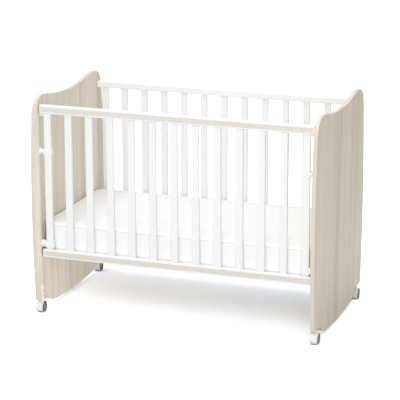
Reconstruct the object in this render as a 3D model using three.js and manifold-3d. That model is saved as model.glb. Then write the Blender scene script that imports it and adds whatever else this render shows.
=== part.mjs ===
// A rocking crib: two flat end panels with curved rocker bottoms, a fixed rear side, a front side
// that drops, a slatted base with its mattress, and four pull-out swivel casters.
// Millimetres. +X runs along the crib, the front is towards -Y, +Z is up, and the floor is z = 0.
import * as THREE from "three";
import { mergeVertices } from "three/addons/utils/BufferGeometryUtils.js";
import Module from "manifold-3d";

const wasm = await Module();
wasm.setup();

// Gap kept between pieces that touch
const gap = 0.3;

// End panels: a flat board, the same front and back
const innerLength = 1206;
const panel = {
  thickness: 18,
  halfDepth: 372.3, // widest, part-way up
  widestHeight: 443.5,
  sideRadius: 4170, // the long bulge of the front and rear edges
  dipHeight: 915.5, // middle of the wavy top
  peakHeight: 942.5,
  peakAt: 272,
  shoulderHeight: 873, // where the rounded top corner meets the side
  cornerHeight: 59.5, // underside of the corner that stands over a caster
  rockerClearance: 11, // the casters hold the rockers off the floor
  rockerRadius: 2400,
  rockerEnd: 190,
  cornerAt: 298, // where the sweep up from the rocker reaches the flat corner
};
// Handles of the curves that join the stretches of the outline
const sweepHandles = { out: 55, up: 4, back: 30 };
const shoulderHandles = { inwards: 4, up: 42, peak: 44 };
const waveHandles = { peak: 80, dip: 150 };
const panelInner = innerLength / 2;
const panelOuter = panelInner + panel.thickness;
const panelMiddle = panelInner + panel.thickness / 2;

// Sides: rails with thirteen slats between them
const slat = { count: 13, pitch: 94.3, width: 31.4, thickness: 14, round: 4 };
const tenon = { width: 22, thickness: 8, length: 12 };
const sidePlane = 311; // |y| of the slats' middle
const rail = { depth: 24, round: 5 };
const frontRail = { height: 37, topAt: 909.5, bottomAt: 246, halfLength: 598 };
const rearRail = { height: 30, topAt: 892.5, bottomAt: 250 };
const railDowel = { radius: 5, length: 12 };
const inlay = { height: 18, depth: 3, endMargin: 7, proud: 0.2, round: 4 };

// Guides that the front side's end slats run through, and the buffers under its top rail
const guide = {
  flangeRadius: 18,
  flangeThickness: 3,
  wall: 4,
  backWall: 2.6, // thinner, to leave room for the mattress
  clearance: 0.5,
  round: 5,
};
const peg = { radius: 4, length: 10 };
const upperGuide = { bottom: 697, top: 723, neckRadius: 11 };
const lowerGuide = { bottom: 291, top: 322, neckRadius: 15 };
const buffer = { height: 11, depth: 20 };

// Base and mattress
const base = { top: 272.7, thickness: 24.4, halfLength: 600, halfDepth: 291, rimWidth: 40 };
const baseSlat = { count: 10, width: 62, thickness: 12 };
const cleat = { height: 24, depth: 20, halfLength: 255, pegFromEnd: 40 };
const mattress = {
  halfLength: 599.5,
  halfDepth: 298.5,
  bottom: 273,
  top: 392, // of the edge, which the crown rises from
  crown: 6,
  cornerRadius: 38,
};

// Casters
const caster = {
  fromMiddle: 311, // |y| of the stem
  trail: 8.4, // the axle lies this far in front of the stem
  width: 33.5,
  wheelRadius: 23,
  wheelWidth: 11,
  axleRadius: 2.5,
  wheelEdge: 1.6,
  wheelDish: 2,
  wheelGap: 0.4,
  hoodInner: 24.4,
  hoodOuter: 26.6,
  hoodFrom: 28, // degrees round the axle, from the rear
  hoodTo: 214,
  stemRadius: 3.5,
  stemBottom: 30,
  stemTop: 95,
  collarRadius: 7,
  collarHeight: 1.2,
};
const bracket = {
  footBottom: 53.6,
  footTop: 59,
  footHalfDepth: 15,
  footOutwards: 12, // deeper on the crib's outer side, under the plate
  footInwards: 9, // past the panel's inner face
  footInset: 2, // short of its outer face
  footRound: 9,
  plateThickness: 4.2,
  plateOffset: 14, // from the stem to the plate's middle
  heelHalfWidth: 5,
  lobe: { height: 96, radius: 12 },
  tip: { height: 119.5, radius: 5.5 },
};
const runningClearance = { stemInPanel: 0.45, stemInHood: 0.2, axle: 0.25 };
const collarTop = bracket.footBottom - gap;
const hoodBossTop = collarTop - caster.collarHeight - gap;

// Colours and finish
const finishes = {
  board: ["#c9c0b1", 0.55, 0],
  strip: ["#d5cec2", 0.5, 0],
  paint: ["#f5f5f3", 0.4, 0],
  plastic: ["#f3f3f3", 0.35, 0],
  bareWood: ["#d9c7a3", 0.65, 0],
  cover: ["#f8f8f7", 0.85, 0],
  steel: ["#b9bcc0", 0.3, 1],
  tyre: ["#4b4c4f", 0.6, 0],
};

const crib = new THREE.Group();

function add(name, finish, geometry) {
  const [color, roughness, metalness] = finishes[finish];
  const material = new THREE.MeshStandardMaterial({ color, roughness, metalness });
  const mesh = new THREE.Mesh(geometry, material);
  mesh.name = name;
  crib.add(mesh);
  return mesh;
}

// A closed geometry as a solid that can be joined and cut
function solid(geometry) {
  const bare = geometry.clone();
  bare.deleteAttribute("normal");
  bare.deleteAttribute("uv");
  const merged = mergeVertices(bare, 1e-3);
  return new wasm.Manifold(
    new wasm.Mesh({
      numProp: 3,
      vertProperties: merged.attributes.position.array,
      triVerts: new Uint32Array(merged.index.array),
    }),
  );
}

function geometryOf(body) {
  const { vertProperties, triVerts } = body.getMesh();
  const indexed = new THREE.BufferGeometry();
  indexed.setAttribute("position", new THREE.BufferAttribute(vertProperties, 3));
  indexed.setIndex(new THREE.BufferAttribute(triVerts, 1));
  const geometry = indexed.toNonIndexed();
  geometry.computeVertexNormals();
  return geometry;
}

const join = (geometries) =>
  geometries.map(solid).reduce((whole, piece) => whole.add(piece));

function cut(whole, geometries) {
  return geometries.map(solid).reduce((left, piece) => left.subtract(piece), whole);
}

// Turns a shape drawn in (y, z) into a prism along X
const drawnInYZ = new THREE.Matrix4().makeBasis(
  new THREE.Vector3(0, 1, 0),
  new THREE.Vector3(0, 0, 1),
  new THREE.Vector3(1, 0, 0),
);

function alongX(shape, from, to, curveSegments = 8) {
  const geometry = new THREE.ExtrudeGeometry(shape, {
    depth: to - from,
    bevelEnabled: false,
    curveSegments,
  });
  return geometry.applyMatrix4(drawnInYZ).translate(from, 0, 0);
}

function alongZ(shape, from, to, curveSegments = 8) {
  const geometry = new THREE.ExtrudeGeometry(shape, {
    depth: to - from,
    bevelEnabled: false,
    curveSegments,
  });
  return geometry.translate(0, 0, from);
}

function box(x0, x1, y0, y1, z0, z1) {
  const geometry = new THREE.BoxGeometry(x1 - x0, y1 - y0, z1 - z0);
  return geometry.translate((x0 + x1) / 2, (y0 + y1) / 2, (z0 + z1) / 2);
}

function pinAlongX(radius, x0, x1, y, z, sides = 12) {
  const geometry = new THREE.CylinderGeometry(radius, radius, x1 - x0, sides);
  return geometry.rotateZ(Math.PI / 2).translate((x0 + x1) / 2, y, z);
}

function pinAlongZ(radius, x, y, z0, z1, sides = 12) {
  const geometry = new THREE.CylinderGeometry(radius, radius, z1 - z0, sides);
  return geometry.rotateX(Math.PI / 2).translate(x, y, (z0 + z1) / 2);
}

function roundedRectangle(u0, u1, v0, v1, radius) {
  const quarter = Math.PI / 2;
  const shape = new THREE.Shape();
  shape.absarc(u1 - radius, v0 + radius, radius, -quarter, 0);
  shape.absarc(u1 - radius, v1 - radius, radius, 0, quarter);
  shape.absarc(u0 + radius, v1 - radius, radius, quarter, 2 * quarter);
  shape.absarc(u0 + radius, v0 + radius, radius, 2 * quarter, 3 * quarter);
  return shape;
}

const sideDepthAt = (z) =>
  panel.halfDepth - (z - panel.widestHeight) ** 2 / (2 * panel.sideRadius);
const rockerHeightAt = (y) => panel.rockerClearance + y ** 2 / (2 * panel.rockerRadius);

// Half of an end panel's outline in (y, z), from the middle of the rocker up to the middle of the
// wavy top: rocker, sweep up to the corner over a caster, bulging side, rounded shoulder, wave
function panelHalfOutline() {
  const sideSteps = 12;
  const rockerSteps = 5;
  const curveSteps = 10;
  const { rockerEnd, cornerAt, cornerHeight, shoulderHeight, peakAt, peakHeight, dipHeight } = panel;
  const rockerEndHeight = rockerHeightAt(rockerEnd);
  const shoulderDepth = sideDepthAt(shoulderHeight);
  const curve = (...pairs) =>
    new THREE.CubicBezierCurve(...pairs.map(([y, z]) => new THREE.Vector2(y, z)))
      .getPoints(curveSteps)
      .slice(1);
  const points = [];
  for (let i = 0; i <= rockerSteps; i++) {
    const y = (rockerEnd * i) / rockerSteps;
    points.push(new THREE.Vector2(y, rockerHeightAt(y)));
  }
  points.push(
    ...curve(
      [rockerEnd, rockerEndHeight],
      [rockerEnd + sweepHandles.out, rockerEndHeight + sweepHandles.up],
      [cornerAt - sweepHandles.back, cornerHeight],
      [cornerAt, cornerHeight],
    ),
  );
  for (let i = 0; i <= sideSteps; i++) {
    const z = THREE.MathUtils.lerp(cornerHeight, shoulderHeight, i / sideSteps);
    points.push(new THREE.Vector2(sideDepthAt(z), z));
  }
  points.push(
    ...curve(
      [shoulderDepth, shoulderHeight],
      [shoulderDepth - shoulderHandles.inwards, shoulderHeight + shoulderHandles.up],
      [peakAt + shoulderHandles.peak, peakHeight],
      [peakAt, peakHeight],
    ),
    ...curve(
      [peakAt, peakHeight],
      [peakAt - waveHandles.peak, peakHeight],
      [waveHandles.dip, dipHeight],
      [0, dipHeight],
    ),
  );
  return points;
}

function panelShape() {
  const half = panelHalfOutline();
  const mirrored = half.slice(1, -1).reverse().map(({ x, y }) => new THREE.Vector2(-x, y));
  return new THREE.Shape([...half, ...mirrored]);
}

// The battens that carry the base, and where each one's two pegs enter the panel
const cleatTop = base.top - base.thickness - gap;
const cleatPegs = [-1, 1].map((end) => end * (cleat.halfLength - cleat.pegFromEnd));

// Places [y, z, pin] of the blind holes in each panel's inner face
function innerFaceHoles() {
  const holes = [];
  for (const { bottom, top } of [upperGuide, lowerGuide])
    holes.push([-sidePlane, (bottom + top) / 2, peg]);
  holes.push([sidePlane, rearRail.topAt - rearRail.height / 2, railDowel]);
  holes.push([sidePlane, rearRail.bottomAt + rearRail.height / 2, railDowel]);
  for (const y of cleatPegs) holes.push([y, cleatTop - cleat.height / 2, peg]);
  return holes;
}

// Two distances from the middle as low and high X on one side of the crib
const span = (side, near, far) => [side * near, side * far].sort((a, b) => a - b);

function endPanel(side) {
  const board = alongX(panelShape(), ...span(side, panelInner, panelOuter));
  const holes = innerFaceHoles().map(([y, z, pin]) => {
    const [x0, x1] = span(side, panelInner - 1, panelInner + pin.length + gap);
    return pinAlongX(pin.radius + gap, x0, x1, y, z);
  });
  const stemHole = caster.stemRadius + runningClearance.stemInPanel;
  for (const y of [-caster.fromMiddle, caster.fromMiddle])
    holes.push(pinAlongZ(stemHole, side * panelMiddle, y, 0, caster.stemTop + 2));
  return geometryOf(cut(solid(board), holes));
}

// Slat positions along X
const slatPlaces = Array.from(
  { length: slat.count },
  (_, i) => (i - (slat.count - 1) / 2) * slat.pitch,
);

// One slat with a tenon at each end, between a lower and an upper rail
function slatGeometry(x, y, lowerRailTop, upperRailBottom) {
  const profile = roundedRectangle(
    x - slat.width / 2, x + slat.width / 2,
    y - slat.thickness / 2, y + slat.thickness / 2, slat.round,
  );
  const stave = alongZ(profile, lowerRailTop + gap, upperRailBottom - gap, 2);
  const tongue = box(
    x - tenon.width / 2, x + tenon.width / 2,
    y - tenon.thickness / 2, y + tenon.thickness / 2,
    lowerRailTop - tenon.length, upperRailBottom + tenon.length,
  );
  return geometryOf(join([stave, tongue]));
}

// The slots in a rail for the slats' tenons; up is 1 where the slats stand above the rail
function mortises(y, faceHeight, up) {
  const inside = faceHeight - up * (tenon.length + 1);
  const outside = faceHeight + up;
  return slatPlaces.map((x) =>
    box(
      x - tenon.width / 2 - gap, x + tenon.width / 2 + gap,
      y - tenon.thickness / 2 - gap, y + tenon.thickness / 2 + gap,
      Math.min(inside, outside), Math.max(inside, outside),
    ),
  );
}

function railProfile(y, z0, z1) {
  return roundedRectangle(y - rail.depth / 2, y + rail.depth / 2, z0, z1, rail.round);
}

// Front rail with the stopped groove for its inlay in the front face
function frontRailGeometry(z0, slotFace, up) {
  const z1 = z0 + frontRail.height;
  const body = alongX(railProfile(-sidePlane, z0, z1), -frontRail.halfLength, frontRail.halfLength, 4);
  const groove = inlayShape(z0, -gap);
  const face = -sidePlane - rail.depth / 2;
  const grooveCut = groovePrism(groove, face - 1, face + inlay.depth + gap);
  return geometryOf(cut(solid(body), [grooveCut, ...mortises(-sidePlane, slotFace, up)]));
}

// Outline of an inlay in (x, z), taken in by margin all round
function inlayShape(railBottom, margin) {
  const middle = railBottom + frontRail.height / 2;
  const halfLength = frontRail.halfLength - inlay.endMargin - margin;
  const halfHeight = inlay.height / 2 - margin;
  const [z0, z1] = [middle - halfHeight, middle + halfHeight];
  return roundedRectangle(-halfLength, halfLength, z0, z1, inlay.round);
}

// A shape drawn in (x, z) as a prism from y0 to y1
function groovePrism(shape, y0, y1) {
  const geometry = new THREE.ExtrudeGeometry(shape, {
    depth: y1 - y0,
    bevelEnabled: false,
    curveSegments: 4,
  });
  return geometry.rotateX(Math.PI / 2).translate(0, y1, 0);
}

function inlayGeometry(railBottom) {
  const face = -sidePlane - rail.depth / 2;
  return groovePrism(inlayShape(railBottom, 0), face - inlay.proud, face + inlay.depth);
}

// Rear rail, with a dowel in each end that enters the panel
function rearRailGeometry(z0, slotFace, up) {
  const z1 = z0 + rearRail.height;
  const end = panelInner - gap;
  const body = alongX(railProfile(sidePlane, z0, z1), -end, end, 4);
  const middle = (z0 + z1) / 2;
  const reach = panelInner + railDowel.length;
  const dowel = pinAlongX(railDowel.radius, -reach, reach, sidePlane, middle);
  return geometryOf(cut(join([body, dowel]), mortises(sidePlane, slotFace, up)));
}

// Guide: a round flange on the panel, a neck, and a collar that the end slat slides through
function guideGeometry(side, { bottom, top, neckRadius }) {
  const middle = (bottom + top) / 2;
  const slatX = slatPlaces[slat.count - 1];
  const face = panelInner - gap;
  const flangeInner = face - guide.flangeThickness;
  const holeHalfWidth = slat.width / 2 + guide.clearance;
  const holeHalfDepth = slat.thickness / 2 + guide.clearance;
  const collarHalfWidth = holeHalfWidth + guide.wall;
  const front = -sidePlane - holeHalfDepth - guide.wall;
  const back = -sidePlane + holeHalfDepth + guide.backWall;
  const collar = roundedRectangle(
    ...span(side, slatX - collarHalfWidth, slatX + collarHalfWidth), front, back, guide.round,
  );
  const passage = roundedRectangle(
    ...span(side, slatX - holeHalfWidth, slatX + holeHalfWidth),
    -sidePlane - holeHalfDepth, -sidePlane + holeHalfDepth, slat.round,
  );
  const pin = (radius, near, far, sides) =>
    pinAlongX(radius, ...span(side, near, far), -sidePlane, middle, sides);
  const whole = join([
    pin(guide.flangeRadius, flangeInner, face, 20),
    pin(peg.radius, flangeInner, panelInner + peg.length, 12),
    pin(neckRadius, slatX + holeHalfWidth + 1, flangeInner + 1, 16),
    alongZ(collar, bottom, top, 3),
  ]);
  return geometryOf(cut(whole, [alongZ(passage, bottom - 1, top + 1, 2)]));
}

// Wedge under each end of the top rail, beside the end slat, that lands on the upper guide
function bufferGeometry(side) {
  const top = frontRail.topAt - frontRail.height - gap;
  const near = slatPlaces[slat.count - 1] + slat.width / 2 + gap;
  const far = frontRail.halfLength;
  const wedge = new THREE.Shape();
  wedge.moveTo(side * near, top);
  wedge.lineTo(side * near, top - buffer.height);
  wedge.lineTo(side * far, top - buffer.height / 2);
  wedge.lineTo(side * far, top);
  wedge.closePath();
  const y = -sidePlane;
  return groovePrism(wedge, y - buffer.depth / 2, y + buffer.depth / 2);
}

// Base: a rectangular rim with slats across it, let in flush at the top
function baseGeometry() {
  const { top, thickness, halfLength, halfDepth, rimWidth } = base;
  const bottom = top - thickness;
  const lap = 1; // bars run this far into each other
  const bars = [];
  for (const side of [-1, 1]) {
    const [y0, y1] = span(side, halfDepth - rimWidth, halfDepth);
    bars.push(box(-halfLength, halfLength, y0, y1, bottom, top));
    const [x0, x1] = span(side, halfLength - rimWidth, halfLength);
    bars.push(box(x0, x1, lap - halfDepth, halfDepth - lap, bottom, top));
  }
  const pitch = (2 * (halfLength - rimWidth)) / (baseSlat.count + 0.5);
  const reach = halfDepth - 2 * lap;
  for (let i = 0; i < baseSlat.count; i++) {
    const x = (i - (baseSlat.count - 1) / 2) * pitch;
    const half = baseSlat.width / 2;
    bars.push(box(x - half, x + half, -reach, reach, top - baseSlat.thickness, top));
  }
  return geometryOf(join(bars));
}

// Batten under each end of the base
function cleatGeometry(side) {
  const face = panelInner - gap;
  const [x0, x1] = span(side, face - cleat.depth, face);
  const bar = box(x0, x1, -cleat.halfLength, cleat.halfLength, cleatTop - cleat.height, cleatTop);
  const [peg0, peg1] = span(side, face - 5, panelInner + peg.length);
  const pegs = cleatPegs.map((y) =>
    pinAlongX(peg.radius, peg0, peg1, y, cleatTop - cleat.height / 2),
  );
  return geometryOf(join([bar, ...pegs]));
}

// Mattress: rings of one rounded rectangle, each drawn in and raised, closed at both ends.
// The wall is drawn in between its two seams, and the top is crowned.
function mattressGeometry() {
  const { halfLength, halfDepth, bottom, top, crown, cornerRadius } = mattress;
  const seamFromEdge = 15;
  const drawnIn = 3;
  const tightestCorner = 4;
  // Each ring as [how far it is drawn in, height]
  const rings = [
    [110, bottom],
    [14, bottom + 1],
    [4, bottom + 5],
    [0, bottom + seamFromEdge],
    [drawnIn, (bottom + top) / 2],
    [0, top - seamFromEdge],
    [4, top - 4],
    [14, top],
    [55, top + crown * 0.45],
    [130, top + crown * 0.85],
    [230, top + crown],
  ];
  const perCorner = 6;
  const points = [];
  for (const [inset, z] of rings) {
    const radius = Math.max(cornerRadius - inset, tightestCorner);
    for (let corner = 0; corner < 4; corner++) {
      const sx = corner === 0 || corner === 3 ? 1 : -1;
      const sy = corner < 2 ? 1 : -1;
      const cx = sx * (halfLength - inset - radius);
      const cy = sy * (halfDepth - inset - radius);
      for (let i = 0; i < perCorner; i++) {
        const angle = (Math.PI / 2) * (corner + i / (perCorner - 1));
        points.push(cx + radius * Math.cos(angle), cy + radius * Math.sin(angle), z);
      }
    }
  }
  const around = 4 * perCorner;
  const faces = [];
  for (let r = 0; r + 1 < rings.length; r++)
    for (let i = 0; i < around; i++) {
      const a = r * around + i;
      const b = r * around + ((i + 1) % around);
      faces.push(a, b, b + around, a, b + around, a + around);
    }
  const last = (rings.length - 1) * around;
  for (let i = 1; i + 1 < around; i++) {
    faces.push(0, i + 1, i);
    faces.push(last, last + i, last + i + 1);
  }
  const geometry = new THREE.BufferGeometry();
  geometry.setAttribute("position", new THREE.Float32BufferAttribute(points, 3));
  geometry.setIndex(faces);
  geometry.computeVertexNormals();
  return geometry;
}

// Bracket: a foot under the panel's corner, and a drop-shaped plate up its inner face
function bracketGeometry(side, end) {
  const { footBottom, footTop, footHalfDepth, heelHalfWidth, lobe, tip } = bracket;
  const footOuter = caster.fromMiddle + footHalfDepth + bracket.footOutwards;
  const footShape = roundedRectangle(
    ...span(side, panelInner - bracket.footInwards, panelOuter - bracket.footInset),
    ...span(end, caster.fromMiddle - footHalfDepth, footOuter), bracket.footRound,
  );
  const y = end * (caster.fromMiddle + bracket.plateOffset);
  const face = panelInner - gap;
  // Angle at which the plate's straight edges meet both arcs
  const slope = Math.asin((lobe.radius - tip.radius) / (tip.height - lobe.height));
  const drop = new THREE.Shape();
  drop.absarc(y, tip.height, tip.radius, slope, Math.PI - slope);
  drop.absarc(y, lobe.height, lobe.radius, Math.PI - slope, 1.25 * Math.PI);
  drop.lineTo(y - heelHalfWidth, footBottom + 1);
  drop.lineTo(y + heelHalfWidth, footBottom + 1);
  drop.absarc(y, lobe.height, lobe.radius, -0.25 * Math.PI, slope);
  const foot = alongZ(footShape, footBottom, footTop, 4);
  const plate = alongX(drop, ...span(side, face - bracket.plateThickness, face), 6);
  const holeRadius = caster.stemRadius + runningClearance.stemInPanel;
  const stemAt = [side * panelMiddle, end * caster.fromMiddle];
  const hole = pinAlongZ(holeRadius, ...stemAt, footBottom - 1, footTop + 1);
  return geometryOf(cut(join([foot, plate]), [hole]));
}

// Stem: a pin with a collar under the bracket's foot; it pulls out of the panel downwards
function stemGeometry(x, y) {
  const { stemRadius, stemBottom, stemTop, collarRadius, collarHeight } = caster;
  const pin = pinAlongZ(stemRadius, x, y, stemBottom, stemTop);
  const collar = pinAlongZ(collarRadius, x, y, collarTop - collarHeight, collarTop, 16);
  return geometryOf(join([pin, collar]));
}

// Hood: a curved cover over both wheels, closed towards the front, on a web between them
function hoodGeometry(x, y) {
  const { wheelRadius, width, wheelWidth, hoodInner, hoodOuter } = caster;
  const axleY = y - caster.trail;
  const start = THREE.MathUtils.degToRad(caster.hoodFrom);
  const end = THREE.MathUtils.degToRad(caster.hoodTo);
  const shell = new THREE.Shape();
  shell.absarc(axleY, wheelRadius, hoodOuter, start, end);
  shell.absarc(axleY, wheelRadius, hoodInner, end, start, true);
  const cover = alongX(shell, x - width / 2, x + width / 2, 12);
  const webHalf = width / 2 - wheelWidth - caster.wheelGap;
  const hub = { halfWidth: 6, below: 7 };
  const web = new THREE.Shape();
  web.absarc(axleY, wheelRadius, hoodInner + 1, 0.2 * Math.PI, 0.95 * Math.PI);
  web.lineTo(axleY - hub.halfWidth, wheelRadius - hub.below);
  web.lineTo(axleY + hub.halfWidth, wheelRadius - hub.below);
  const middle = alongX(web, x - webHalf, x + webHalf, 6);
  const bossBottom = wheelRadius + hoodInner - 3;
  const boss = pinAlongZ(caster.collarRadius, x, y, bossBottom, hoodBossTop, 16);
  const axleHole = pinAlongX(
    caster.axleRadius + runningClearance.axle, x - width, x + width, axleY, wheelRadius,
  );
  const stemHole = pinAlongZ(
    caster.stemRadius + runningClearance.stemInHood, x, y, caster.stemBottom - 0.5, hoodBossTop + 1,
  );
  return geometryOf(cut(join([cover, middle, boss]), [axleHole, stemHole]));
}

// Twin wheels on their axle, turned about X: dished outside, with the axle bare between them
function wheelsGeometry(x, y) {
  const { wheelRadius, wheelWidth, width, axleRadius, wheelEdge, wheelDish } = caster;
  const outer = width / 2;
  const inner = outer - wheelWidth;
  const rim = 5;
  // Half of the section as [radius, distance from the middle]
  const half = [
    [0, outer - wheelDish],
    [wheelRadius - rim - 1, outer - wheelDish],
    [wheelRadius - rim, outer],
    [wheelRadius - wheelEdge, outer],
    [wheelRadius, outer - wheelEdge],
    [wheelRadius, inner + wheelEdge],
    [wheelRadius - wheelEdge, inner],
    [axleRadius, inner],
  ];
  const mirrored = half.map(([r, w]) => [r, -w]).reverse();
  const profile = [...half, ...mirrored].reverse().map(([r, w]) => new THREE.Vector2(r, w));
  const geometry = new THREE.LatheGeometry(profile, 24);
  return geometry.rotateZ(-Math.PI / 2).translate(x, y - caster.trail, wheelRadius);
}

const sides = [[-1, "left"], [1, "right"]];
const frontBack = [[-1, "front"], [1, "rear"]];
const twoDigits = (i) => String(i + 1).padStart(2, "0");
const frontTopRailBottom = frontRail.topAt - frontRail.height;
const frontBottomRailTop = frontRail.bottomAt + frontRail.height;
const rearTopRailBottom = rearRail.topAt - rearRail.height;
const rearBottomRailTop = rearRail.bottomAt + rearRail.height;

for (const [side, word] of sides) add(`end_panel_${word}`, "board", endPanel(side));

add("front_top_rail", "paint", frontRailGeometry(frontTopRailBottom, frontTopRailBottom, -1));
add("front_bottom_rail", "paint", frontRailGeometry(frontRail.bottomAt, frontBottomRailTop, 1));
add("front_top_inlay", "strip", inlayGeometry(frontTopRailBottom));
add("front_bottom_inlay", "strip", inlayGeometry(frontRail.bottomAt));
add("rear_top_rail", "paint", rearRailGeometry(rearTopRailBottom, rearTopRailBottom, -1));
add("rear_bottom_rail", "paint", rearRailGeometry(rearRail.bottomAt, rearBottomRailTop, 1));
slatPlaces.forEach((x, i) => {
  const front = slatGeometry(x, -sidePlane, frontBottomRailTop, frontTopRailBottom);
  add(`front_slat_${twoDigits(i)}`, "paint", front);
  const rear = slatGeometry(x, sidePlane, rearBottomRailTop, rearTopRailBottom);
  add(`rear_slat_${twoDigits(i)}`, "paint", rear);
});

for (const [side, word] of sides) {
  add(`upper_guide_${word}`, "plastic", guideGeometry(side, upperGuide));
  add(`lower_guide_${word}`, "plastic", guideGeometry(side, lowerGuide));
  add(`rail_buffer_${word}`, "plastic", bufferGeometry(side));
  add(`base_cleat_${word}`, "bareWood", cleatGeometry(side));
}

add("mattress_base", "bareWood", baseGeometry());
add("mattress", "cover", mattressGeometry());

for (const [end, endWord] of frontBack)
  for (const [side, sideWord] of sides) {
    const place = `${endWord}_${sideWord}`;
    const x = side * panelMiddle;
    const y = end * caster.fromMiddle;
    add(`caster_bracket_${place}`, "plastic", bracketGeometry(side, end));
    add(`caster_stem_${place}`, "steel", stemGeometry(x, y));
    add(`caster_hood_${place}`, "plastic", hoodGeometry(x, y));
    add(`caster_wheels_${place}`, "tyre", wheelsGeometry(x, y));
  }

export default crib;
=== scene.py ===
# Rocking crib: finishes, soft parts and small fittings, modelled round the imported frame.
# Metres, +X along the crib, the front towards -Y, +Z up, the floor at z = 0.
import math

import bpy
import numpy as np
from mathutils import Matrix, Vector


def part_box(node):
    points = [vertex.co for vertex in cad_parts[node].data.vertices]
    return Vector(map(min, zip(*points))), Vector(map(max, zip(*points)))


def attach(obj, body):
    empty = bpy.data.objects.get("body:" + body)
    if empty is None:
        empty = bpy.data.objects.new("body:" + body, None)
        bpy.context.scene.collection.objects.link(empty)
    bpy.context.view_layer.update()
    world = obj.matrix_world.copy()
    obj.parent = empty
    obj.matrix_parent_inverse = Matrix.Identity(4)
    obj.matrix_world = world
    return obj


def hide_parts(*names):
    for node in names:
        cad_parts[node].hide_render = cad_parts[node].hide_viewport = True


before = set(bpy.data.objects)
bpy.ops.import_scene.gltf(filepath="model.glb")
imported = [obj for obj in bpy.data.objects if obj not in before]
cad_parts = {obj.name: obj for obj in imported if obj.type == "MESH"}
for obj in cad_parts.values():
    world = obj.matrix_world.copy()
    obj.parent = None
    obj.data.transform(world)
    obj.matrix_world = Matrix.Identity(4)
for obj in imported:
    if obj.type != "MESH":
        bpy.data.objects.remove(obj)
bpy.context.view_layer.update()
print("stage: frame loaded,", len(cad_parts), "nodes")

# Each piece's dictionary is in millimetres; the camera's, the floor's and the lamps' are in metres
mm = 0.001
gap = 0.3  # left between pieces that touch
scene = bpy.context.scene


# Camera, solved from the straight lines of the photograph
camera = {
    "azimuth": 20.0536,  # degrees round from straight ahead, towards the right end
    "elevation": 15.2993,
    "roll": 0.1416,
    "focalPixels": 1769.96,
    "imagePixels": 400,
    "place": (2.5083, -6.8747, 2.4719),
    "sensor": 36.0,
    "clipEnd": 200,
}


def addCamera():
    # the view direction from azimuth and elevation, then right and down axes turned by the roll
    turn, tilt, roll = (math.radians(camera[k]) for k in ("azimuth", "elevation", "roll"))
    level = math.cos(tilt)
    forward = Vector((-math.sin(turn) * level, math.cos(turn) * level, -math.sin(tilt)))
    right = Vector((math.cos(turn), math.sin(turn), 0))
    down = forward.cross(right)
    rolledRight = right * math.cos(roll) + down * math.sin(roll)
    rolledDown = down * math.cos(roll) - right * math.sin(roll)
    data = bpy.data.cameras.new("camera")
    data.sensor_width = camera["sensor"]
    data.lens = camera["sensor"] * camera["focalPixels"] / camera["imagePixels"]
    data.clip_end = camera["clipEnd"]
    obj = bpy.data.objects.new("camera", data)
    scene.collection.objects.link(obj)
    axes = Matrix((rolledRight, -rolledDown, -forward)).transposed().to_4x4()
    obj.matrix_world = Matrix.Translation(camera["place"]) @ axes
    scene.camera = obj


addCamera()


# Materials

def linear(code):
    # sRGB hex to linear red, green, blue, alpha
    values = [int(code[i:i + 2], 16) / 255 for i in (0, 2, 4)]
    return [v / 12.92 if v <= 0.04045 else ((v + 0.055) / 1.055) ** 2.4 for v in values] + [1.0]


def addNode(tree, kind, inputs=None, **settings):
    # one node: its settings, then each input as a value or as a link from another node's socket
    node = tree.nodes.new(kind)
    for name, value in settings.items():
        setattr(node, name, value)
    for name, value in (inputs or {}).items():
        if isinstance(value, bpy.types.NodeSocket):
            tree.links.new(value, node.inputs[name])
        else:
            node.inputs[name].default_value = value
    return node


def emptyTree(owner):
    # a material's or world's nodes, switched on and cleared
    owner.use_nodes = True
    owner.node_tree.nodes.clear()
    return owner.node_tree


def newMaterial(name, values):
    # a Principled shader with its constants set on its own sockets
    material = bpy.data.materials.new(name)
    tree = emptyTree(material)
    shader = addNode(tree, "ShaderNodeBsdfPrincipled", values)
    addNode(tree, "ShaderNodeOutputMaterial", {"Surface": shader.outputs[0]})
    return material, tree, shader


def stretched(tree, sizes):
    # object coordinates times repeats per metre, from a pattern's real size on each axis
    place = addNode(tree, "ShaderNodeTexCoord").outputs["Object"]
    scales = tuple(1000 / size for size in sizes)
    return addNode(tree, "ShaderNodeMapping", {"Vector": place, "Scale": scales}).outputs[0]


def addBump(tree, shader, height, depth, strength):
    values = {"Height": height, "Distance": depth * mm, "Strength": strength}
    bump = addNode(tree, "ShaderNodeBump", values)
    tree.links.new(bump.outputs[0], shader.inputs["Normal"])


def addFineBump(tree, shader, size, detail, depth, strength):
    # even noise with lumps of one real size
    noise = addNode(tree, "ShaderNodeTexNoise", {
        "Vector": stretched(tree, (size, size, size)), "Scale": 1.0, "Detail": detail,
    })
    addBump(tree, shader, noise.outputs[0], depth, strength)


woodgrain = {
    "light": "ede5d7", "middle": "e4dbcc", "dark": "d3c9ba", "line": "beb4a6",
    "bandWidth": 55, "bandLength": 1500,
    "streakWidth": 7, "streakLength": 420,
    "poreWidth": 1.6, "poreLength": 45,  # real pores are under 0.5 mm wide: drawn coarser to show
}
grain = {
    "spread": 0.14,  # how far the noise's values run to either side of a half
    "poreFrom": 0.60, "poreTo": 0.74, "poreShare": 0.55, "poreDepth": 0.1, "poreBump": 0.25,
    "streakSlice": 3.1, "poreSlice": 7.7,  # apart in the noise's fourth dimension
}


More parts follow.
